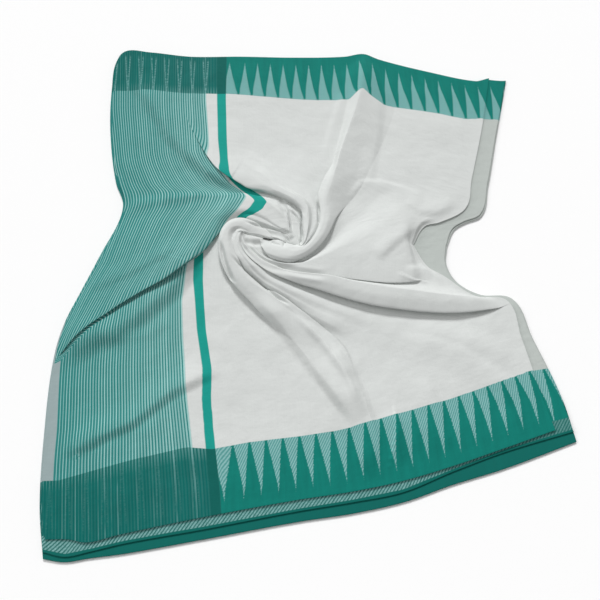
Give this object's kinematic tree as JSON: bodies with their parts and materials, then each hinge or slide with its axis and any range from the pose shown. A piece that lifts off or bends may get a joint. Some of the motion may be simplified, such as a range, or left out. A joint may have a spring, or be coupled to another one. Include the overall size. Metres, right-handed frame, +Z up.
{
  "type": "folded cotton saree laid flat with a twisted centre",
  "caption": "Cotton saree folded in layers and laid flat, its top sheet twisted into a swirl, with a striped end and temple borders.",
  "frame": {"origin": "middle of the flat underside's box, on the surface that the saree lies on", "axes": "+Z up, +Y across the loom width towards the far selvedge border, +X along the length, away from the striped end"},
  "size_m": [0.97, 1.177, 0.043],
  "materials": {
    "body_cotton": "plain woven off-white cotton, matt",
    "pallu_cotton": "cotton with fine teal and white warp-wise stripes, matt",
    "border_cotton": "teal-green woven border with grey-white temple spires, slight sheen",
    "pallu_border_cotton": "dark teal woven border with thin light stripes",
    "lower_cotton": "lower layers of the same cotton, plain and bordered"
  },
  "bodies": {
    "root": {"body_field": "body_cotton", "pallu_field": "pallu_cotton", "body_border_top": "border_cotton", "body_border_bottom": "border_cotton", "pallu_border_top": "pallu_border_cotton", "pallu_border_bottom": "pallu_border_cotton", "under_layers": "lower_cotton"}
  },
  "joints": []
}
